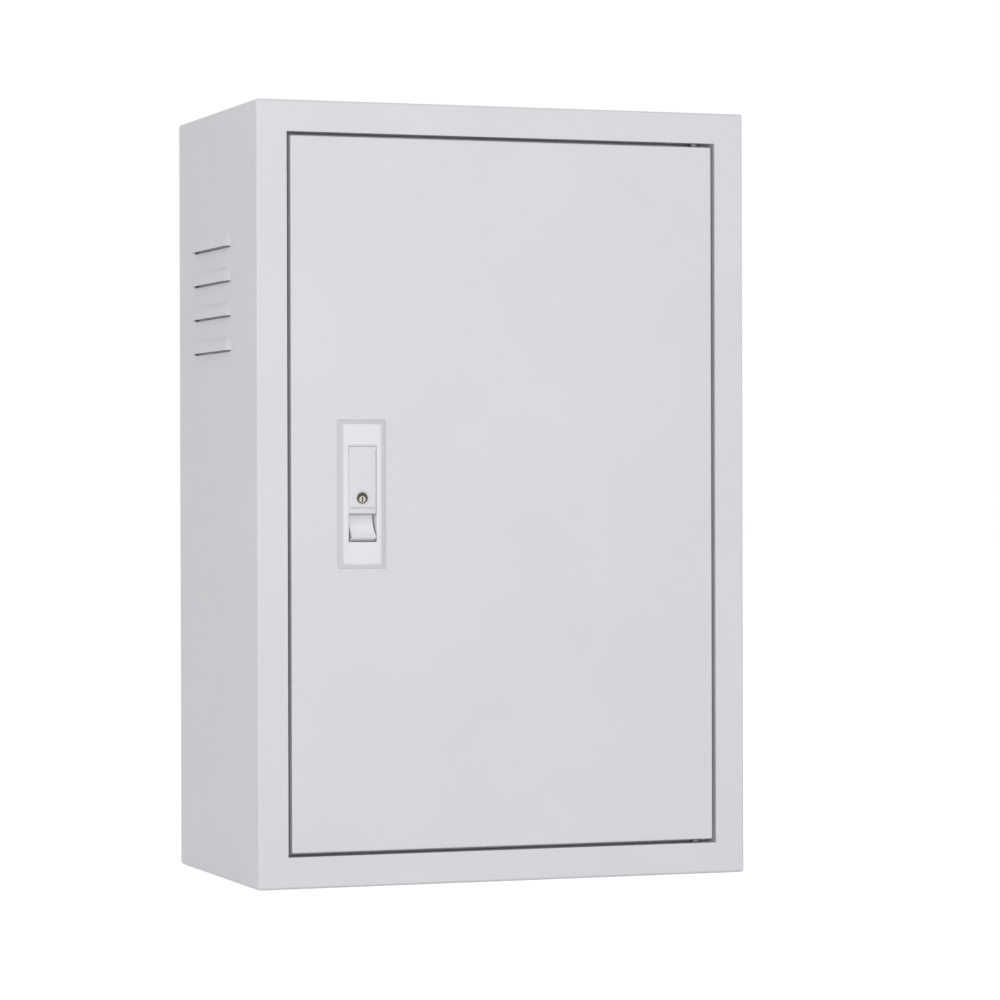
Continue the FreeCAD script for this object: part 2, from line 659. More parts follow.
def hinge_rod(radius, end, rise0, rise1):
    """Round bar on the hinge axis; a rise is measured from the opening's edge into the frame."""
    if end == "top":
        z0, z1 = OPENING_TOP + rise0, OPENING_TOP + rise1
    else:
        z0, z1 = OPENING_FLOOR - rise1, OPENING_FLOOR - rise0
    return rod_up(radius, PIVOT_X, PIVOT_DEPTH, z0, z1)


def hinge_pad(end, half, depth0, depth1, rise0, rise1):
    """Block centred on the hinge axis between two rises."""
    if end == "top":
        z0, z1 = OPENING_TOP + rise0, OPENING_TOP + rise1
    else:
        z0, z1 = OPENING_FLOOR - rise1, OPENING_FLOOR - rise0
    return box(PIVOT_X - half, PIVOT_X + half, depth0, depth1, z0, z1)


def hinge_lugs():
    """Thick pads welded to the frame's leg, which hold the pins."""
    pads = []
    for end in ("top", "bottom"):
        top = BODY_SHEET + HINGE_LUG_SHEET
        depth0 = PIVOT_DEPTH - HINGE_LUG_DEPTH / 2
        pad = hinge_pad(end, HINGE_LUG_LENGTH / 2, depth0, depth0 + HINGE_LUG_DEPTH, BODY_SHEET, top)
        pads.append(pad.cut(hinge_rod(PIN_RADIUS, end, BODY_SHEET, top)))
    return group(pads)


def hinge_pins():
    """Headed pins with a collar that fills the gap between frame and door."""
    tail = -(DOOR_GAP + DOOR_SHEET + HINGE_BLOCK_HEIGHT)
    top = BODY_SHEET + HINGE_LUG_SHEET
    collar = -(DOOR_GAP - COLLAR_CLEARANCE)
    pins = []
    for end in ("top", "bottom"):
        shank = hinge_rod(PIN_RADIUS, end, tail, top)
        head = hinge_rod(PIN_HEAD_RADIUS, end, top, top + PIN_HEAD_HEIGHT)
        ring = hinge_rod(COLLAR_RADIUS, end, collar, 0)
        pins.append(join([shank, head, ring]))
    return group(pins)


def hinge_blocks():
    """Bearing blocks welded inside the door's corners."""
    blocks = []
    for end in ("top", "bottom"):
        top = -(DOOR_GAP + DOOR_SHEET)
        foot = top - HINGE_BLOCK_HEIGHT
        block = hinge_pad(end, HINGE_BLOCK_LENGTH / 2, DOOR_INSIDE, HEM_FRONT, foot, top)
        blocks.append(block.cut(hinge_rod(PIN_RADIUS + PIN_CLEARANCE, end, foot, top)))
    return group(blocks)


# Door


def door_panel():
    """Door pan: skin, folded edges and an inner hem, cut out for the lock and the hinge pins."""
    outer = opening_block(-DOOR_GAP, 0, DOOR_FOLD)
    outer = fillet(outer, DOOR_BEND, lambda edge: edge.BoundBox.YMin < y_at(HEM_FRONT))
    room = opening_block(-DOOR_GAP - DOOR_SHEET, DOOR_SHEET, HEM_FRONT)
    mouth = opening_block(-DOOR_GAP - HEM_WIDTH, HEM_FRONT, HEM_BACK)
    cuts = [room, mouth, lock_tub_block(TUB_CLEARANCE, 0, DOOR_SHEET)]
    for z in lock_screw_heights():
        cuts.append(rod_in(LOCK_BOSS_RADIUS + TUB_CLEARANCE, LOCK_X, 0, DOOR_SHEET, z))
    for end in ("top", "bottom"):
        cuts.append(hinge_rod(PIN_RADIUS + PIN_CLEARANCE, end, -DOOR_GAP - DOOR_SHEET, -DOOR_GAP))
    return outer.cut(cuts)


def door_seal():
    """Foam seal on the hem, from the hinge axis inwards, with rounded corners."""
    outer = opening_block(-DOOR_GAP - HINGE_INSET, HEM_BACK, HEM_BACK + SEAL_HEIGHT)
    outer = fillet(outer, SEAL_CORNER, lambda edge: runs_along(edge, INWARD))
    return outer.cut(opening_block(-DOOR_GAP - HEM_WIDTH, HEM_BACK, HEM_BACK + SEAL_HEIGHT))


def door_stiffener():
    """Hat-section rail spot-welded across the door, with a row of holes in its crown."""
    half = HEM_HALF - STIFFENER_END_GAP
    crown = STIFFENER_CROWN / 2
    foot = crown + STIFFENER_FOOT
    back = DOOR_INSIDE + STIFFENER_RISE
    sheet = STIFFENER_SHEET
    upper = [(DOOR_INSIDE, foot), (DOOR_INSIDE + sheet, foot), (DOOR_INSIDE + sheet, crown), (back, crown)]
    inner = [(back - sheet, crown - sheet), (DOOR_INSIDE, crown - sheet)]
    outline = upper + [(depth, -z) for depth, z in reversed(upper)]
    outline += [(depth, -z) for depth, z in reversed(inner)] + inner
    rail = prism_across([(depth, STIFFENER_Z + z) for depth, z in outline], -half, half)
    count = int((2 * half - STIFFENER_HOLE_PITCH) / STIFFENER_HOLE_PITCH)
    holes = [rod_in(STIFFENER_HOLE_RADIUS, x, back - sheet, back, STIFFENER_Z)
             for x in pole_places(0, count, STIFFENER_HOLE_PITCH)]
    return rail.cut(holes)


def document_pocket():
    """Open-topped plastic pocket for the circuit diagrams, with a thumb notch in its front."""
    half = POCKET_WIDTH / 2
    back = DOOR_INSIDE + POCKET_DEPTH
    shell = box(-half, half, DOOR_INSIDE, back, POCKET_FLOOR_Z, POCKET_TOP_Z)
    shell = fillet(shell, POCKET_CORNER, lambda edge: pocket_front_edge(edge, back))
    room = box(-half + POCKET_WALL, half - POCKET_WALL, DOOR_INSIDE + POCKET_WALL, back - POCKET_WALL,
               POCKET_FLOOR_Z + POCKET_WALL, POCKET_TOP_Z)
    notch_half = POCKET_NOTCH_WIDTH / 2
    notch = box(-notch_half, notch_half, back - POCKET_WALL, back,
                POCKET_TOP_Z - POCKET_NOTCH_DROP, POCKET_TOP_Z)
    return shell.cut([room, notch])


def pocket_front_edge(edge, back):
    """Edges round the pocket's front, apart from its mouth, and the two short ones of its floor."""
    bounds = edge.BoundBox
    if runs_along(edge, INWARD):
        return bounds.ZMax < POCKET_FLOOR_Z + POCKET_WALL
    return bounds.YMin > y_at(back - POCKET_WALL) and bounds.ZMin < POCKET_TOP_Z - POCKET_WALL


def door_earth_stud():
    """Weld stud with its collar, for the door's earth strap."""
    collar_face = DOOR_INSIDE + DOOR_STUD_COLLAR_HEIGHT
    collar = rod_in(DOOR_STUD_COLLAR, DOOR_STUD_X, DOOR_INSIDE, collar_face, DOOR_STUD_Z)
    stud = rod_in(DOOR_STUD_RADIUS, DOOR_STUD_X, DOOR_INSIDE, DOOR_INSIDE + DOOR_STUD_LENGTH, DOOR_STUD_Z)
    return join([collar, stud])


# Lock


def lock_box(half_width, depth0, depth1, z0, z1):
    """Block centred on the lock."""
    return box(LOCK_X - half_width, LOCK_X + half_width, depth0, depth1, z0, z1)


def lock_tub_block(margin, depth0, depth1):
    """Outside of the tub behind the bezel, grown by a margin."""
    grow = TUB_WALL + margin
    return lock_box(WINDOW_WIDTH / 2 + grow, depth0, depth1, WINDOW_BOTTOM - grow, WINDOW_TOP + grow)


def lock_screw_heights():
    """Heights of the two screws that hold the lock."""
    return [LOCK_Z - LOCK_SCREW_SPAN / 2, LOCK_Z + LOCK_SCREW_SPAN / 2]


def bezel_outline(depth, inset):
    """Rectangle of the bezel at a depth, drawn in by an inset."""
    half = BEZEL_WIDTH / 2 - inset
    rise = BEZEL_HEIGHT / 2 - inset
    corners = [V(LOCK_X + i * half, y_at(depth), LOCK_Z + j * rise)
               for i, j in ((-1, -1), (1, -1), (1, 1), (-1, 1))]
    return Part.makePolygon(corners + corners[:1])


def lock_bezel():
    """Die-cast bezel with bevelled edges, and the tub that houses lever, button and rotor."""
    face = Part.makeLoft([bezel_outline(0, 0), bezel_outline(BEZEL_FACE, BEZEL_BEVEL)], True, True)
    tub = lock_tub_block(0, 0, TUB_DEPTH)
    bosses = [rod_in(LOCK_BOSS_RADIUS, LOCK_X, 0, DOOR_SHEET, z) for z in lock_screw_heights()]
    room = lock_box(WINDOW_WIDTH / 2, BEZEL_FACE, TUB_FLOOR, WINDOW_BOTTOM, WINDOW_TOP)
    cuts = [room, rod_in(ROTOR_NECK_RADIUS + ROTOR_CLEARANCE, LOCK_X, TUB_FLOOR, TUB_DEPTH, ROTOR_Z)]
    cuts.append(lever_pin())
    cuts += [rod_in(LOCK_SCREW_RADIUS, LOCK_X, -LOCK_SCREW_BITE, DOOR_SHEET, z) for z in lock_screw_heights()]
    return join([face, tub] + bosses).cut(cuts)


def lever_pin():
    """Cross pin that the lever hangs on."""
    half = WINDOW_WIDTH / 2 + TUB_WALL
    return rod_across(LEVER_PIN_RADIUS, LOCK_X - half, LOCK_X + half, LEVER_PIVOT_DEPTH, LEVER_PIVOT_Z)


def lock_lever():
    """Flush lever with a round end about its pin, bevelled sides and a boss for the key cylinder."""
    half = WINDOW_WIDTH / 2 - LOCK_CLEARANCE
    front = BEZEL_FACE
    back = BEZEL_FACE + LEVER_THICKNESS
    shoulder = math.sqrt(LEVER_END_RADIUS ** 2 - (LEVER_THICKNESS / 2) ** 2)
    strip = LEVER_BOTTOM + LEVER_STRIP
    outline = [
        (front, LEVER_PIVOT_Z + shoulder), (front, strip + LEVER_GROOVE), (front + LEVER_GROOVE, strip),
        (front, strip - LEVER_GROOVE), (front + LEVER_STRIP_DROP, LEVER_BOTTOM), (back, LEVER_BOTTOM),
        (back, LEVER_PIVOT_Z + shoulder),
    ]
    grip = prism_across(outline, LOCK_X - half, LOCK_X + half)
    grip = grip.makeChamfer(LEVER_EDGE, [edge for edge in grip.Edges if long_front_edge(edge)])
    end = rod_across(LEVER_END_RADIUS, LOCK_X - half, LOCK_X + half, LEVER_PIVOT_DEPTH, LEVER_PIVOT_Z)
    end = end.common(lock_box(half, front, back, LEVER_PIVOT_Z, WINDOW_TOP))
    boss = rod_in(KEY_RADIUS + KEY_BOSS_WALL, LOCK_X, back, KEY_BOSS_DEPTH, KEY_Z)
    cuts = [
        rod_in(KEY_RADIUS + KEY_CLEARANCE, LOCK_X, front, KEY_BOSS_DEPTH, KEY_Z),
        rod_in(KEY_RADIUS + KEY_RIM, LOCK_X, front, front + KEY_RIM_DEPTH, KEY_Z),
        rod_across(LEVER_PIN_RADIUS + LEVER_PIN_CLEARANCE, LOCK_X - half, LOCK_X + half,
                   LEVER_PIVOT_DEPTH, LEVER_PIVOT_Z),
    ]
    return join([grip, end, boss]).cut(cuts)


def long_front_edge(edge):
    """The two long upright edges of the lever's face."""
    bounds = edge.BoundBox
    return runs_along(edge, UP) and bounds.YMax < y_at(BEZEL_FACE) + NEAR and bounds.ZLength > KEY_LIFT


def key_cylinder():
    """Key plug with a crescent cup round its slotted core, and the tail bar that locks under the tub."""
    front = BEZEL_FACE + KEY_RECESS
    core_z = KEY_Z - KEY_CORE_DROP
    plug = rod_in(KEY_RADIUS, LOCK_X, front, KEY_BOSS_DEPTH, KEY_Z)
    cup = rod_in(KEY_CUP_RADIUS, LOCK_X, front, front + KEY_CUP_DEPTH, KEY_Z)
    cup = cup.cut(rod_in(KEY_CORE_RADIUS, LOCK_X, front, front + KEY_CUP_DEPTH, core_z))
    slot = lock_box(KEY_SLOT_WIDTH / 2, front, front + KEY_SLOT_DEPTH,
                    core_z - KEY_SLOT_LENGTH / 2, core_z + KEY_SLOT_LENGTH / 2)
    tail = lock_box(KEY_TAIL_WIDTH / 2, KEY_BOSS_DEPTH, KEY_BOSS_DEPTH + KEY_TAIL_THICKNESS,
                    KEY_Z - KEY_TAIL_LENGTH / 2, KEY_Z + KEY_TAIL_LENGTH / 2)
    return join([plug, tail]).cut([cup, slot])


def push_button():
    """Push button with a hollow for the fingertip, which dips under the lever and rises to a crest."""
    half = WINDOW_WIDTH / 2 - BUTTON_SIDE_GAP
    front = BEZEL_FACE
    crest = front - BUTTON_CREST_RISE
    crest_z = BUTTON_TOP - BUTTON_CREST_DROP
    outline = [
        (crest, BUTTON_TOP), (crest, crest_z - BUTTON_CREST_LENGTH), (front + BUTTON_TOE_DIP, BUTTON_BOTTOM),
        (BUTTON_BACK, BUTTON_BOTTOM), (BUTTON_BACK, BUTTON_TOP),
    ]
    body = prism_across(outline, LOCK_X - half, LOCK_X + half)
    rise = BUTTON_DIP + BUTTON_CREST_RISE
    hollow = (rise ** 2 + BUTTON_CREST_DROP ** 2) / (2 * rise)
    body = body.cut(rod_across(hollow, LOCK_X - half, LOCK_X + half, front + BUTTON_DIP - hollow, BUTTON_TOP))
    return body.makeChamfer(BUTTON_EDGE, [edge for edge in body.Edges if button_side_edge(edge)])


def button_side_edge(edge):
    """The side edges of the hollow, crest and toe of the push button."""
    bounds = edge.BoundBox
    dip = y_at(BEZEL_FACE + BUTTON_DIP)
    return bounds.XLength < NEAR and bounds.YMin < dip - BUTTON_EDGE and bounds.YMax < dip + NEAR


def cam_rotor():
    """Rotor inside the tub, its neck through the floor, and the squared spindle that carries the cam."""
    disc = rod_in(ROTOR_RADIUS, LOCK_X, ROTOR_FACE, TUB_FLOOR - ROTOR_FLOOR_GAP, ROTOR_Z)
    neck = rod_in(ROTOR_NECK_RADIUS, LOCK_X, TUB_FLOOR - ROTOR_FLOOR_GAP, CAM_FACE, ROTOR_Z)
    stud_end = CAM_BACK + CAM_WASHER_HEIGHT + CAM_NUT_HEIGHT
    stud = rod_in(SPINDLE_STUD_RADIUS, LOCK_X, CAM_BACK, stud_end, ROTOR_Z)
    return join([disc, neck, cam_square(), stud])


def cam_square():
    """Square of the spindle where the cam sits."""
    half = SPINDLE_SQUARE / 2
    return lock_box(half, CAM_FACE, CAM_BACK, ROTOR_Z - half, ROTOR_Z + half)


def cam_plate():
    """Flat cam with round ends, which turns behind the frame's stop lip."""
    bar = lock_box(CAM_WIDTH / 2, CAM_FACE, CAM_BACK, ROTOR_Z - CAM_LENGTH + CAM_WIDTH / 2, ROTOR_Z)
    ends = [rod_in(CAM_WIDTH / 2, LOCK_X, CAM_FACE, CAM_BACK, z)
            for z in (ROTOR_Z, ROTOR_Z - CAM_LENGTH + CAM_WIDTH / 2)]
    return join([bar] + ends).cut(cam_square())


def cam_nut():
    """Nut and washer that hold the cam on the spindle."""
    washer = rod_in(CAM_WASHER_RADIUS, LOCK_X, CAM_BACK, CAM_BACK + CAM_WASHER_HEIGHT, ROTOR_Z)
    washer = washer.cut(rod_in(SPINDLE_STUD_RADIUS, LOCK_X, CAM_BACK, CAM_BACK + CAM_WASHER_HEIGHT, ROTOR_Z))
    hexagon = nut(CAM_NUT_FLATS, LOCK_X, CAM_BACK + CAM_WASHER_HEIGHT, ROTOR_Z, CAM_NUT_HEIGHT,
                  SPINDLE_STUD_RADIUS, INWARD)
    return join([washer, hexagon])


def lock_clamps():
    """Two straps that clamp the bezel to the door from inside."""
    straps = []
    for z in lock_screw_heights():
        strap = lock_box(LOCK_CLAMP_LENGTH / 2, DOOR_INSIDE, DOOR_INSIDE + LOCK_CLAMP_SHEET,
                         z - LOCK_CLAMP_WIDTH / 2, z + LOCK_CLAMP_WIDTH / 2)
        hole = rod_in(LOCK_SCREW_RADIUS, LOCK_X, DOOR_INSIDE, DOOR_INSIDE + LOCK_CLAMP_SHEET, z)
        straps.append(strap.cut(hole))
    return group(straps)


def lock_screws():
    """Pan-head screws through the straps into the bezel."""
    seat = DOOR_INSIDE + LOCK_CLAMP_SHEET
    screws = []
    for z in lock_screw_heights():
        shank = rod_in(LOCK_SCREW_RADIUS, LOCK_X, -LOCK_SCREW_BITE, seat, z)
        head = rod_in(LOCK_SCREW_HEAD_RADIUS, LOCK_X, seat, seat + LOCK_SCREW_HEAD_HEIGHT, z)
        screws.append(join([shank, head]))
    return group(screws)


# Mounting plate


def plate_stud_places():
    """Corners of the mounting plate where the studs pass."""
    x = PLATE_WIDTH / 2 - PLATE_STUD_INSET_X
    heights = (PLATE_FLOOR + PLATE_STUD_INSET_Z, PLATE_TOP - PLATE_STUD_INSET_Z)
    return [(side * x, z) for side in (-1, 1) for z in heights]


def plate_screw_places():
    """Position and seat height of each pan-head screw in a rail or a duct."""
    rails = [(x, RAIL_SHEET, z) for x0, x1, z in rail_spans() for x in (x0 + SCREW_INSET, x1 - SCREW_INSET)]
    upright = [(side * DUCT_X, DUCT_WALL, z) for side in (-1, 1)
               for z in (UPRIGHT_DUCT_FLOOR + SCREW_INSET, UPRIGHT_DUCT_TOP - SCREW_INSET)]
    level = [(side * (LEVEL_DUCT_HALF - SCREW_INSET), DUCT_WALL, z) for side in (-1, 1)
             for z in (MIDDLE_DUCT_Z, LOWER_DUCT_Z)]
    return rails + upright + level


def plate_screws():
    """Pan-head screws that hold the rails and ducts."""
    screws = []
    for x, seat, z in plate_screw_places():
        shank = plate_rod(SCREW_RADIUS, x, -PLATE_SHEET - SCREW_END, seat, z)
        head = plate_rod(SCREW_HEAD_RADIUS, x, seat, seat + SCREW_HEAD_HEIGHT, z)
        screws.append(join([shank, head]))
    return group(screws)


def breaker_bolts():
    """Two long screws through opposite corners of the main breaker into the plate."""
    bolts = []
    head_face = BREAKER_SHELF_RISE + SCREW_HEAD_HEIGHT
    for x, z in breaker_bolt_places():
        shank = plate_rod(BREAKER_BOLT_RADIUS, x, -PLATE_SHEET - SCREW_END, BREAKER_SHELF_RISE, z)
        head = plate_rod(BREAKER_BOLT_HEAD_RADIUS, x, BREAKER_SHELF_RISE, head_face, z)
        bolts.append(join([shank, head]))
    return group(bolts)


def breaker_bolt_places():
    """Opposite corners of the main breaker, between its poles, where the long screws pass."""
    drop = BREAKER_HEIGHT / 2 - BREAKER_BOLT_DROP
    return [(BREAKER_X + side * BREAKER_POLE_PITCH / 2, BREAKER_Z + side * drop) for side in (-1, 1)]


def mounting_plate():
    """Plate with folded-back long edges, drilled for the studs and every screw."""
    half = PLATE_WIDTH / 2
    sheet = box(-half, half, PLATE_FACE, PLATE_BACK, PLATE_FLOOR, PLATE_TOP)
    folds = []
    for x0 in (-half, half - PLATE_SHEET):
        folds.append(box(x0, x0 + PLATE_SHEET, PLATE_FACE, PLATE_BACK + PLATE_FOLD, PLATE_FLOOR, PLATE_TOP))
    holes = [rod_in(PLATE_STUD_RADIUS, x, PLATE_FACE, PLATE_BACK, z) for x, z in plate_stud_places()]
    holes += [rod_in(SCREW_RADIUS, x, PLATE_FACE, PLATE_BACK, z) for x, seat, z in plate_screw_places()]
    holes += [rod_in(BREAKER_BOLT_RADIUS, x, PLATE_FACE, PLATE_BACK, z) for x, z in breaker_bolt_places()]
    return join([sheet] + folds).cut(holes)


def plate_spacers():
    """Sleeves on the studs between back panel and mounting plate."""
    sleeves = []
    for x, z in plate_stud_places():
        sleeve = rod_in(PLATE_SPACER_RADIUS, x, PLATE_BACK, BACK_FACE, z)
        sleeves.append(sleeve.cut(rod_in(PLATE_STUD_RADIUS, x, PLATE_BACK, BACK_FACE, z)))
    return group(sleeves)


def plate_nuts():
    """Nut and washer on each stud in front of the mounting plate."""
    pairs = []
    for x, z in plate_stud_places():
        washer_face = PLATE_FACE - PLATE_WASHER_HEIGHT
        washer = rod_in(PLATE_WASHER_RADIUS, x, washer_face, PLATE_FACE, z)
        washer = washer.cut(rod_in(PLATE_STUD_RADIUS, x, washer_face, PLATE_FACE, z))
        hexagon = nut(PLATE_NUT_FLATS, x, washer_face, z, PLATE_NUT_HEIGHT, PLATE_STUD_RADIUS, -INWARD)
        pairs.append(join([washer, hexagon]))
    return group(pairs)


# Wiring ducts


def duct(length):
    """Slotted duct lying along X from the origin, open forwards, as seen from its own corner."""
    half = DUCT_WIDTH / 2
    room_width = DUCT_WIDTH - 2 * DUCT_WALL
    shell = Part.makeBox(length, DUCT_RISE, DUCT_WIDTH, V(0, -DUCT_RISE, -half))
    room = Part.makeBox(length, DUCT_RISE, room_width, V(0, -DUCT_RISE - DUCT_WALL, -half + DUCT_WALL))
    count = int((length - DUCT_SLOT) / DUCT_SLOT_PITCH)
    first = (length - DUCT_SLOT_PITCH * (count - 1) - DUCT_SLOT) / 2
    slot_rise = DUCT_RISE - DUCT_SLOT_FLOOR
    slots = [Part.makeBox(DUCT_SLOT, slot_rise, DUCT_WIDTH, V(first + i * DUCT_SLOT_PITCH, -DUCT_RISE, -half))
             for i in range(count)]
    return shell.cut([room] + slots)


def duct_cover(length):
    """Lid of a duct: a flat strip whose two lips grip the walls from outside."""
    half = DUCT_WIDTH / 2
    outer = half + DUCT_COVER_SHEET
    top = DUCT_RISE + DUCT_COVER_SHEET
    lid = Part.makeBox(length, DUCT_COVER_SHEET + DUCT_COVER_LIP, 2 * outer, V(0, -top, -outer))
    room = Part.makeBox(length, DUCT_COVER_LIP, DUCT_WIDTH, V(0, -DUCT_RISE, -half))
    return lid.cut(room)


def place_level(shape, x, z):
    """Sets a duct piece along X on the plate, starting at x."""
    return shape.translated(V(x, y_at(PLATE_FACE), z))


def place_upright(shape, x, z):
    """Sets a duct piece along Z on the plate, starting at z."""
    turned_shape = shape.rotated(V(), INWARD, -90)
    return turned_shape.translated(V(x, y_at(PLATE_FACE), z))


def duct_holes(places):
    """Screw holes through a duct's floor."""
    return [plate_rod(SCREW_RADIUS, x, 0, DUCT_WALL, z) for x, z in places]


def upright_duct(side):
    """Vertical duct down one side of the plate, screwed near both ends."""
    shape = place_upright(duct(UPRIGHT_DUCT_TOP - UPRIGHT_DUCT_FLOOR), side * DUCT_X, UPRIGHT_DUCT_FLOOR)
    ends = (UPRIGHT_DUCT_FLOOR + SCREW_INSET, UPRIGHT_DUCT_TOP - SCREW_INSET)
    return shape.cut(duct_holes([(side * DUCT_X, z) for z in ends]))


def level_duct(z):
    """Horizontal duct between the two vertical ones."""
    shape = place_level(duct(2 * LEVEL_DUCT_HALF), -LEVEL_DUCT_HALF, z)
    x = LEVEL_DUCT_HALF - SCREW_INSET
    return shape.cut(duct_holes([(-x, z), (x, z)]))


def upright_duct_covers():
    """Lids of the two vertical ducts."""
    cover = duct_cover(UPRIGHT_DUCT_TOP - UPRIGHT_DUCT_FLOOR)
    return group([place_upright(cover, side * DUCT_X, UPRIGHT_DUCT_FLOOR) for side in (-1, 1)])


def level_duct_covers():
    """Lids of the two horizontal ducts."""
    cover = duct_cover(2 * LEVEL_DUCT_HALF)
    return group([place_level(cover, -LEVEL_DUCT_HALF, z) for z in (MIDDLE_DUCT_Z, LOWER_DUCT_Z)])


# Rails


def rail_spans():
    """Left end, right end and height of each rail."""
    return [
        (UPPER_RAIL_LEFT, RAIL_RIGHT, UPPER_RAIL_Z),
        (RAIL_LEFT, RAIL_RIGHT, STARTER_RAIL_Z),
        (RAIL_LEFT, RAIL_RIGHT, TERMINAL_RAIL_Z),
    ]


def mounting_rail(x0, x1, z):
    """Top-hat rail on the plate, with a screw hole near each end."""
    channel = RAIL_CHANNEL / 2
    half = RAIL_HEIGHT / 2
    sheet = RAIL_SHEET
    upper = [(0, channel), (RAIL_RISE - sheet, channel), (RAIL_RISE - sheet, half), (RAIL_RISE, half),
             (RAIL_RISE, channel - sheet), (sheet, channel - sheet)]
    outline = upper + [(reach, -height) for reach, height in reversed(upper)]
    rail = prism_across([(off_plate(reach), z + height) for reach, height in outline], x0, x1)
    return rail.cut([plate_rod(SCREW_RADIUS, x, 0, sheet, z) for x in (x0 + SCREW_INSET, x1 - SCREW_INSET)])


def rail_hooks(x, width, z):
    """Hooks behind a device that grip the two edges of a rail."""
    half = RAIL_HEIGHT / 2
    back = RAIL_RISE - RAIL_SHEET - HOOK_SHEET
    hooks = []
    for side in (-1, 1):
        edge = z + side * half
        stem = sorted((edge, edge + side * HOOK_SHEET))
        toe = sorted((edge - side * HOOK_BITE, edge + side * HOOK_SHEET))
        hooks.append(plate_box(x - width / 2, x + width / 2, back, RAIL_RISE, stem[0], stem[1]))
        hooks.append(plate_box(x - width / 2, x + width / 2, back, back + HOOK_SHEET, toe[0], toe[1]))
    return hooks


# Toggles shared by both breakers


def toggle(x, z, pivot_rise, hub, width, thickness, length):
    """Breaker toggle, leaning down in its off position."""
    pivot = V(x, y_at(off_plate(pivot_rise)), z)
    drum = rod_across(hub, x - width / 2, x + width / 2, off_plate(pivot_rise), z)
    handle = plate_box(x - width / 2, x + width / 2, pivot_rise, pivot_rise + length,
                       z - thickness / 2, z + thickness / 2)
    tip = rod_across(thickness / 2, x - width / 2, x + width / 2, off_plate(pivot_rise + length), z)
    return join([drum, handle, tip]).rotated(pivot, RIGHT, TOGGLE_LEAN)


def toggle_room(x, z, pivot_rise, hub, width, thickness, face_rise):
    """Space that a toggle needs inside its breaker, over its whole swing."""
    half = width / 2 + TOGGLE_CLEARANCE
    drum = rod_across(hub + TOGGLE_CLEARANCE, x - half, x + half, off_plate(pivot_rise), z)
    lean = math.radians(TOGGLE_LEAN)
    rise = (face_rise - pivot_rise) * math.tan(lean) + thickness / 2 / math.cos(lean) + TOGGLE_CLEARANCE
    slot = plate_box(x - half, x + half, pivot_rise, face_rise, z - rise, z + rise)
    return [drum, slot]


def pole_places(x, poles, pitch):
    """X of each pole of a device."""
    return [x + (i - (poles - 1) / 2) * pitch for i in range(poles)]


# Main breaker


def breaker_tab_places():
    """Centre of each terminal tab of the main breaker."""
    drop = BREAKER_HEIGHT / 2 - BREAKER_POCKET_HEIGHT + BREAKER_TAB_HEIGHT / 2
    return [(x, BREAKER_Z + side * drop) for side in (-1, 1)
            for x in pole_places(BREAKER_X, BREAKER_POLES, BREAKER_POLE_PITCH)]


def breaker_case():
    """Moulded case: terminal shelves at both ends, a raised face and a nose round the toggle."""
    half = BREAKER_WIDTH / 2
    rise = BREAKER_HEIGHT / 2
    face_half = rise - BREAKER_SHELF_HEIGHT
    nose_half = BREAKER_NOSE_WIDTH / 2
    nose_rise = BREAKER_NOSE_HEIGHT / 2
    steps = [(half, BREAKER_SHELF_RISE, rise), (half, BREAKER_FACE_RISE, face_half),
             (nose_half, BREAKER_NOSE_RISE, nose_rise)]
    solids = [plate_box(BREAKER_X - width, BREAKER_X + width, 0, face, BREAKER_Z - height, BREAKER_Z + height)
              for width, face, height in steps]
    cuts = toggle_room(BREAKER_X, BREAKER_Z, BREAKER_PIVOT_RISE, BREAKER_HUB_RADIUS, BREAKER_HANDLE_WIDTH,
                       BREAKER_HANDLE_THICKNESS, BREAKER_NOSE_RISE)
    floor = BREAKER_SHELF_RISE - BREAKER_POCKET_DEPTH
    for side in (-1, 1):
        cuts += terminal_pockets(BREAKER_X, BREAKER_POLES, BREAKER_POLE_PITCH, BREAKER_POCKET_WIDTH,
                                 BREAKER_Z + side * rise, BREAKER_POCKET_HEIGHT, floor,
                                 BREAKER_SHELF_RISE, side)
    return join(solids).cut(cuts + breaker_bolts().Solids)


def breaker_tabs():
    """Copper terminal tabs on the floors of the main breaker's pockets."""
    floor = BREAKER_SHELF_RISE - BREAKER_POCKET_DEPTH
    half = BREAKER_TAB_WIDTH / 2
    rise = BREAKER_TAB_HEIGHT / 2
    return group([plate_box(x - half, x + half, floor, floor + BREAKER_TAB_SHEET, z - rise, z + rise)
                  for x, z in breaker_tab_places()])


def breaker_toggle():
    """Toggle of the main breaker."""
    return toggle(BREAKER_X, BREAKER_Z, BREAKER_PIVOT_RISE, BREAKER_HUB_RADIUS, BREAKER_HANDLE_WIDTH,
                  BREAKER_HANDLE_THICKNESS, BREAKER_HANDLE_LENGTH)


# Control breaker


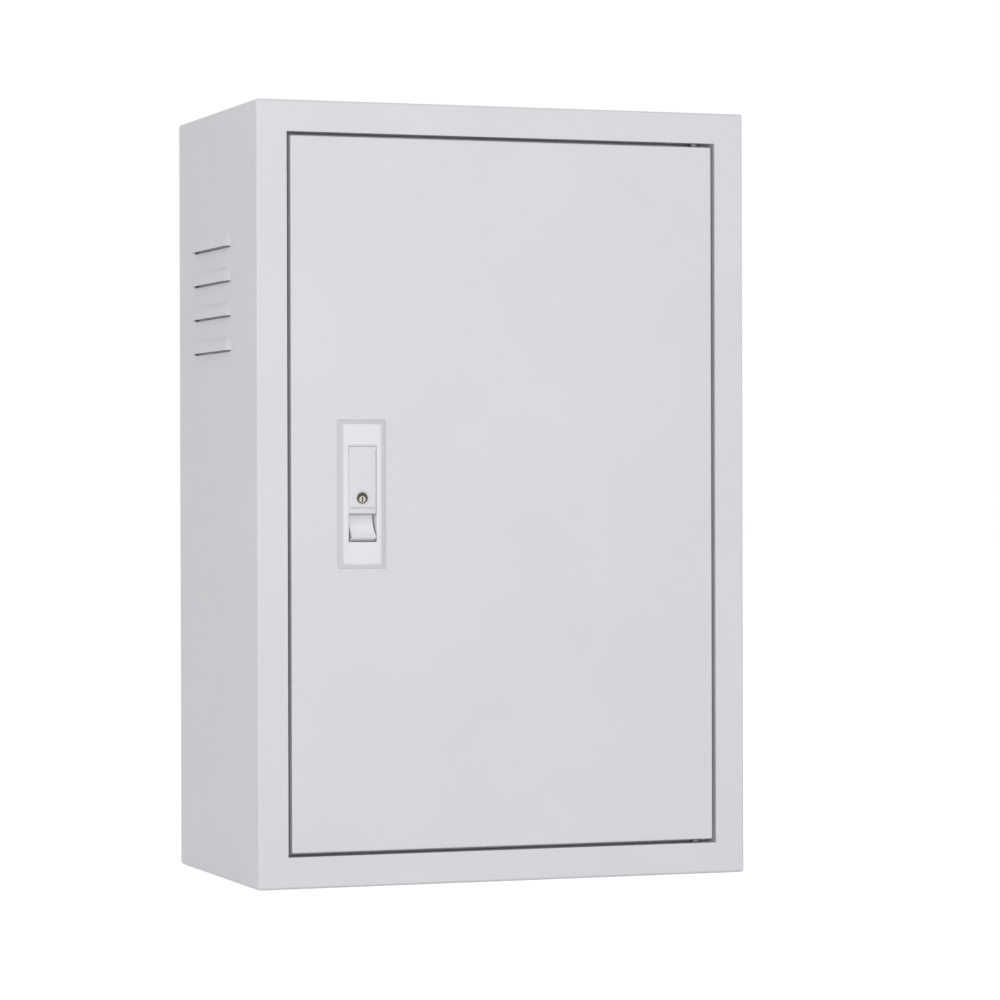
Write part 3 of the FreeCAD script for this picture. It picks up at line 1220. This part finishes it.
def control_case():
    """Two-pole case with stepped front, hooked on the upper rail."""
    half = CONTROL_WIDTH / 2
    rise = CONTROL_HEIGHT / 2
    face_half = CONTROL_FACE_HEIGHT / 2
    outline = [(RAIL_RISE, rise), (CONTROL_SHELF_RISE, rise), (CONTROL_SHELF_RISE, face_half),
               (CONTROL_FACE_RISE, face_half)]
    outline += [(reach, -height) for reach, height in reversed(outline)]
    body = prism_across([(off_plate(reach), UPPER_RAIL_Z + height) for reach, height in outline],
                        CONTROL_X - half, CONTROL_X + half)
    cuts = toggle_room(CONTROL_X, UPPER_RAIL_Z, CONTROL_PIVOT_RISE, CONTROL_HUB_RADIUS, CONTROL_HANDLE_WIDTH,
                       CONTROL_HANDLE_THICKNESS, CONTROL_FACE_RISE)
    seat = CONTROL_SHELF_RISE - TERMINAL_SCREW_HEIGHT
    for x, z in control_screw_places():
        cuts.append(plate_rod(TERMINAL_SCREW_RADIUS, x, seat, CONTROL_SHELF_RISE, z))
    return join([body] + rail_hooks(CONTROL_X, CONTROL_WIDTH, UPPER_RAIL_Z)).cut(cuts)


def control_screw_places():
    """Terminal screws on the two shelves of the control breaker."""
    drop = (CONTROL_HEIGHT + CONTROL_FACE_HEIGHT) / 4
    return [(x, UPPER_RAIL_Z + side * drop) for side in (-1, 1)
            for x in pole_places(CONTROL_X, CONTROL_POLES, CONTROL_WIDTH / CONTROL_POLES)]


def control_toggle():
    """Linked toggle of the control breaker."""
    return toggle(CONTROL_X, UPPER_RAIL_Z, CONTROL_PIVOT_RISE, CONTROL_HUB_RADIUS, CONTROL_HANDLE_WIDTH,
                  CONTROL_HANDLE_THICKNESS, CONTROL_HANDLE_LENGTH)


# Contactors


def terminal_pockets(x, poles, pitch, width, z_end, height, floor, rise, side):
    """Row of terminal pockets cut into one end of a device."""
    ends = sorted((z_end, z_end - side * height))
    return [plate_box(px - width / 2, px + width / 2, floor, rise, ends[0], ends[1])
            for px in pole_places(x, poles, pitch)]


def contactor_base(x):
    """Lower half of a contactor, with the terminal pockets, hooked on the starter rail."""
    half = CONTACTOR_WIDTH / 2
    rise = CONTACTOR_HEIGHT / 2
    body = plate_box(x - half, x + half, RAIL_RISE, CONTACTOR_BASE_RISE,
                     STARTER_RAIL_Z - rise, STARTER_RAIL_Z + rise)
    cuts = []
    for side in (-1, 1):
        cuts += terminal_pockets(x, CONTACTOR_POLES, CONTACTOR_POLE_PITCH, CONTACTOR_POCKET_WIDTH,
                                 STARTER_RAIL_Z + side * rise, CONTACTOR_POCKET_HEIGHT,
                                 CONTACTOR_POCKET_RISE, CONTACTOR_BASE_RISE, side)
    return join([body] + rail_hooks(x, CONTACTOR_WIDTH, STARTER_RAIL_Z)).cut(cuts)


def contactor_head(x):
    """Upper half of a contactor: arc chamber and the nose with the armature window."""
    half = CONTACTOR_WIDTH / 2
    rise = CONTACTOR_HEAD_HEIGHT / 2
    nose_half = CONTACTOR_NOSE_WIDTH / 2
    nose_rise = CONTACTOR_NOSE_HEIGHT / 2
    head = plate_box(x - half, x + half, CONTACTOR_BASE_RISE, CONTACTOR_HEAD_RISE,
                     STARTER_RAIL_Z - rise, STARTER_RAIL_Z + rise)
    nose = plate_box(x - nose_half, x + nose_half, CONTACTOR_BASE_RISE, CONTACTOR_NOSE_RISE,
                     STARTER_RAIL_Z - nose_rise, STARTER_RAIL_Z + nose_rise)
    window_half = ARMATURE_WIDTH / 2 + ARMATURE_CLEARANCE
    window_rise = ARMATURE_HEIGHT / 2 + ARMATURE_CLEARANCE
    floor = CONTACTOR_NOSE_RISE + ARMATURE_PROUD - ARMATURE_LENGTH - ARMATURE_TRAVEL - ARMATURE_CLEARANCE
    window = plate_box(x - window_half, x + window_half, floor, CONTACTOR_NOSE_RISE,
                       STARTER_RAIL_Z - window_rise, STARTER_RAIL_Z + window_rise)
    return join([head, nose]).cut(window)


def contactor_armature(x):
    """Sliding armature carrier that shows in the nose and moves in when the coil pulls."""
    front = CONTACTOR_NOSE_RISE + ARMATURE_PROUD
    return plate_box(x - ARMATURE_WIDTH / 2, x + ARMATURE_WIDTH / 2, front - ARMATURE_LENGTH, front,
                     STARTER_RAIL_Z - ARMATURE_HEIGHT / 2, STARTER_RAIL_Z + ARMATURE_HEIGHT / 2)


def contactor_screw_places(x):
    """Terminal screws of a contactor, upper row first."""
    drop = CONTACTOR_HEIGHT / 2 - CONTACTOR_POCKET_HEIGHT / 2
    return [(px, STARTER_RAIL_Z + side * drop) for side in (1, -1)
            for px in pole_places(x, CONTACTOR_POLES, CONTACTOR_POLE_PITCH)]


# Overload relay


def overload_button_places():
    """X and height of the reset button and the stop button."""
    middle = (OVERLOAD_TOP + OVERLOAD_BOTTOM + OVERLOAD_SHELF_HEIGHT) / 2
    x = CONTACTOR_FORWARD_X + OVERLOAD_BUTTON_OFFSET
    return [(x, middle + OVERLOAD_BUTTON_PITCH / 2), (x, middle - OVERLOAD_BUTTON_PITCH / 2)]


def overload_dial_place():
    """X and height of the current dial."""
    middle = (OVERLOAD_TOP + OVERLOAD_BOTTOM + OVERLOAD_SHELF_HEIGHT) / 2
    return CONTACTOR_FORWARD_X + DIAL_OFFSET, middle + DIAL_LIFT


def overload_prongs():
    """Copper prongs from the relay into the contactor's lower pockets."""
    z0 = OVERLOAD_TOP - PRONG_ROOT
    z1 = OVERLOAD_TOP + OVERLOAD_GAP + PRONG_BITE
    return group([plate_box(x - PRONG_WIDTH / 2, x + PRONG_WIDTH / 2, CONTACTOR_POCKET_RISE,
                            CONTACTOR_POCKET_RISE + PRONG_SHEET, z0, z1)
                  for x in pole_places(CONTACTOR_FORWARD_X, CONTACTOR_POLES, CONTACTOR_POLE_PITCH)])


def overload_case():
    """Relay case with a lower terminal shelf, a dial seat and two button wells."""
    x = CONTACTOR_FORWARD_X
    half = CONTACTOR_WIDTH / 2
    low = plate_box(x - half, x + half, RAIL_RISE, OVERLOAD_SHELF_RISE, OVERLOAD_BOTTOM, OVERLOAD_TOP)
    high = plate_box(x - half, x + half, RAIL_RISE, OVERLOAD_FACE_RISE,
                     OVERLOAD_BOTTOM + OVERLOAD_SHELF_HEIGHT, OVERLOAD_TOP)
    cuts = terminal_pockets(x, CONTACTOR_POLES, CONTACTOR_POLE_PITCH, CONTACTOR_POCKET_WIDTH, OVERLOAD_BOTTOM,
                            CONTACTOR_POCKET_HEIGHT, CONTACTOR_POCKET_RISE, OVERLOAD_SHELF_RISE, -1)
    dial_x, dial_z = overload_dial_place()
    cuts.append(plate_rod(DIAL_RADIUS + DIAL_CLEARANCE, dial_x, OVERLOAD_FACE_RISE - DIAL_SEAT_DEPTH,
                          OVERLOAD_FACE_RISE, dial_z))
    well = OVERLOAD_FACE_RISE + OVERLOAD_BUTTON_PROUD - OVERLOAD_BUTTON_LENGTH - OVERLOAD_BUTTON_TRAVEL
    half_width = OVERLOAD_BUTTON_WIDTH / 2 + OVERLOAD_BUTTON_CLEARANCE
    half_height = OVERLOAD_BUTTON_HEIGHT / 2 + OVERLOAD_BUTTON_CLEARANCE
    for bx, bz in overload_button_places():
        cuts.append(plate_box(bx - half_width, bx + half_width, well - OVERLOAD_BUTTON_CLEARANCE,
                              OVERLOAD_FACE_RISE, bz - half_height, bz + half_height))
    return join([low, high]).cut(cuts + overload_prongs().Solids)


def overload_dial():
    """Current dial with a screwdriver slot."""
    x, z = overload_dial_place()
    face = OVERLOAD_FACE_RISE
    disc = plate_rod(DIAL_RADIUS, x, face - DIAL_SEAT_DEPTH, face, z)
    slot = plate_box(x - DIAL_SLOT_WIDTH / 2, x + DIAL_SLOT_WIDTH / 2, face - DIAL_SLOT_DEPTH, face,
                     z - DIAL_RADIUS, z + DIAL_RADIUS)
    return disc.cut(slot)


def overload_button(place):
    """Push button of the relay, at one of its two places."""
    x, z = place
    half = OVERLOAD_BUTTON_WIDTH / 2
    rise = OVERLOAD_BUTTON_HEIGHT / 2
    front = OVERLOAD_FACE_RISE + OVERLOAD_BUTTON_PROUD
    return plate_box(x - half, x + half, front - OVERLOAD_BUTTON_LENGTH, front, z - rise, z + rise)


# Terminal screws


def terminal_screw(x, z, seat, washer):
    """Screw head on its seat, with a square clamp washer under it unless a prong is there."""
    head = plate_rod(TERMINAL_SCREW_RADIUS, x, seat, seat + TERMINAL_SCREW_HEIGHT, z)
    if not washer:
        return head
    half = TERMINAL_WASHER / 2
    clamp = plate_box(x - half, x + half, seat - TERMINAL_WASHER_SHEET, seat, z - half, z + half)
    return join([head, clamp])


def terminal_screws():
    """Every terminal screw of the breakers, contactors and overload relay."""
    screws = []
    tab_top = BREAKER_SHELF_RISE - BREAKER_POCKET_DEPTH + BREAKER_TAB_SHEET
    screws += [terminal_screw(x, z, tab_top, False) for x, z in breaker_tab_places()]
    control_seat = CONTROL_SHELF_RISE - TERMINAL_SCREW_HEIGHT
    screws += [terminal_screw(x, z, control_seat, False) for x, z in control_screw_places()]
    for contactor_x in (CONTACTOR_FORWARD_X, CONTACTOR_REVERSE_X):
        for x, z in contactor_screw_places(contactor_x):
            on_prong = contactor_x == CONTACTOR_FORWARD_X and z < STARTER_RAIL_Z
            screws.append(terminal_screw(x, z, TERMINAL_SEAT_RISE, not on_prong))
    relay_z = OVERLOAD_BOTTOM + CONTACTOR_POCKET_HEIGHT / 2
    screws += [terminal_screw(x, relay_z, TERMINAL_SEAT_RISE, True)
               for x in pole_places(CONTACTOR_FORWARD_X, CONTACTOR_POLES, CONTACTOR_POLE_PITCH)]
    return group(screws)


# Terminal strip and earth bar


def terminal_profile(width, height, shoulder_rise, rise, shoulder, x):
    """Stepped block on the terminal rail, with a notch along the middle of its crown."""
    half = height / 2
    crown = half - shoulder
    outline = [(RAIL_RISE, half), (shoulder_rise, half), (rise, crown), (rise, TERMINAL_NOTCH),
               (rise - TERMINAL_NOTCH, 0)]
    outline += [(reach, -level) for reach, level in reversed(outline[:-1])]
    body = prism_across([(off_plate(reach), TERMINAL_RAIL_Z + level) for reach, level in outline], x, x + width)
    return join([body] + rail_hooks(x + width / 2, width, TERMINAL_RAIL_Z))


def terminal_blocks():
    """Row of feed-through terminals."""
    return group([terminal_profile(TERMINAL_WIDTH, TERMINAL_HEIGHT, TERMINAL_SHOULDER_RISE, TERMINAL_RISE,
                                   TERMINAL_SHOULDER, TERMINAL_LEFT + i * TERMINAL_PITCH)
                  for i in range(TERMINAL_COUNT)])


def end_clamps():
    """Clamps that hold the row of terminals together on the rail."""
    row_end = TERMINAL_LEFT + TERMINAL_COUNT * TERMINAL_PITCH
    gap = TERMINAL_PITCH - TERMINAL_WIDTH
    places = (TERMINAL_LEFT - gap - END_CLAMP_WIDTH, row_end)
    return group([terminal_profile(END_CLAMP_WIDTH, END_CLAMP_HEIGHT, TERMINAL_SHOULDER_RISE, END_CLAMP_RISE,
                                   TERMINAL_SHOULDER, x) for x in places])


def earth_bar():
    """Brass bar on two feet, drilled for its screws."""
    half = EARTH_BAR_LENGTH / 2
    z0 = EARTH_BAR_Z - EARTH_BAR_HEIGHT / 2
    z1 = EARTH_BAR_Z + EARTH_BAR_HEIGHT / 2
    top = EARTH_BAR_RISE + EARTH_BAR_THICKNESS
    bar = plate_box(-half, half, EARTH_BAR_RISE, top, z0, z1)
    feet = [plate_box(x0, x0 + EARTH_BAR_FOOT, 0, EARTH_BAR_RISE, z0, z1)
            for x0 in (-half, half - EARTH_BAR_FOOT)]
    return join([bar] + feet)


def earth_screws():
    """Clamp screws along the earth bar."""
    top = EARTH_BAR_RISE + EARTH_BAR_THICKNESS
    return group([plate_rod(EARTH_SCREW_RADIUS, x, top, top + EARTH_SCREW_HEIGHT, EARTH_BAR_Z)
                  for x in pole_places(0, EARTH_SCREW_COUNT, EARTH_SCREW_PITCH)])


def nodes():
    """Every separate piece of the cabinet under its own name."""
    reset_place, stop_place = overload_button_places()
    rails = [mounting_rail(x0, x1, z) for x0, x1, z in rail_spans()]
    return {
        "body_wrap": body_wrap(),
        "inner_frame": inner_frame(),
        "back_panel": back_panel(),
        "gland_plate": gland_plate(),
        "gland_seal": gland_seal(),
        "gland_nuts": gland_nuts(),
        "cable_grommets": cable_grommets(),
        "hinge_lugs": hinge_lugs(),
        "hinge_pins": hinge_pins(),
        "hinge_blocks": hinge_blocks(),
        "door_panel": door_panel(),
        "door_seal": door_seal(),
        "door_stiffener": door_stiffener(),
        "document_pocket": document_pocket(),
        "door_earth_stud": door_earth_stud(),
        "lock_bezel": lock_bezel(),
        "lock_clamps": lock_clamps(),
        "lock_screws": lock_screws(),
        "lever_pin": lever_pin(),
        "lock_lever": lock_lever(),
        "key_cylinder": key_cylinder(),
        "push_button": push_button(),
        "cam_rotor": cam_rotor(),
        "cam_plate": cam_plate(),
        "cam_nut": cam_nut(),
        "mounting_plate": mounting_plate(),
        "plate_spacers": plate_spacers(),
        "plate_nuts": plate_nuts(),
        "plate_screws": plate_screws(),
        "wire_duct_left": upright_duct(-1),
        "wire_duct_right": upright_duct(1),
        "wire_duct_middle": level_duct(MIDDLE_DUCT_Z),
        "wire_duct_lower": level_duct(LOWER_DUCT_Z),
        "duct_covers_upright": upright_duct_covers(),
        "duct_covers_level": level_duct_covers(),
        "rail_upper": rails[0],
        "rail_starter": rails[1],
        "rail_terminals": rails[2],
        "breaker_case": breaker_case(),
        "breaker_bolts": breaker_bolts(),
        "breaker_tabs": breaker_tabs(),
        "breaker_toggle": breaker_toggle(),
        "control_breaker_case": control_case(),
        "control_breaker_toggle": control_toggle(),
        "contactor_forward_base": contactor_base(CONTACTOR_FORWARD_X),
        "contactor_forward_head": contactor_head(CONTACTOR_FORWARD_X),
        "contactor_forward_armature": contactor_armature(CONTACTOR_FORWARD_X),
        "contactor_reverse_base": contactor_base(CONTACTOR_REVERSE_X),
        "contactor_reverse_head": contactor_head(CONTACTOR_REVERSE_X),
        "contactor_reverse_armature": contactor_armature(CONTACTOR_REVERSE_X),
        "overload_case": overload_case(),
        "overload_prongs": overload_prongs(),
        "overload_dial": overload_dial(),
        "overload_reset": overload_button(reset_place),
        "overload_stop": overload_button(stop_place),
        "terminal_screws": terminal_screws(),
        "terminal_blocks": terminal_blocks(),
        "end_clamps": end_clamps(),
        "earth_bar": earth_bar(),
        "earth_screws": earth_screws(),
    }


os.makedirs("parts", exist_ok=True)
for name, shape in nodes().items():
    shape.exportStep(f"parts/{name}.step")
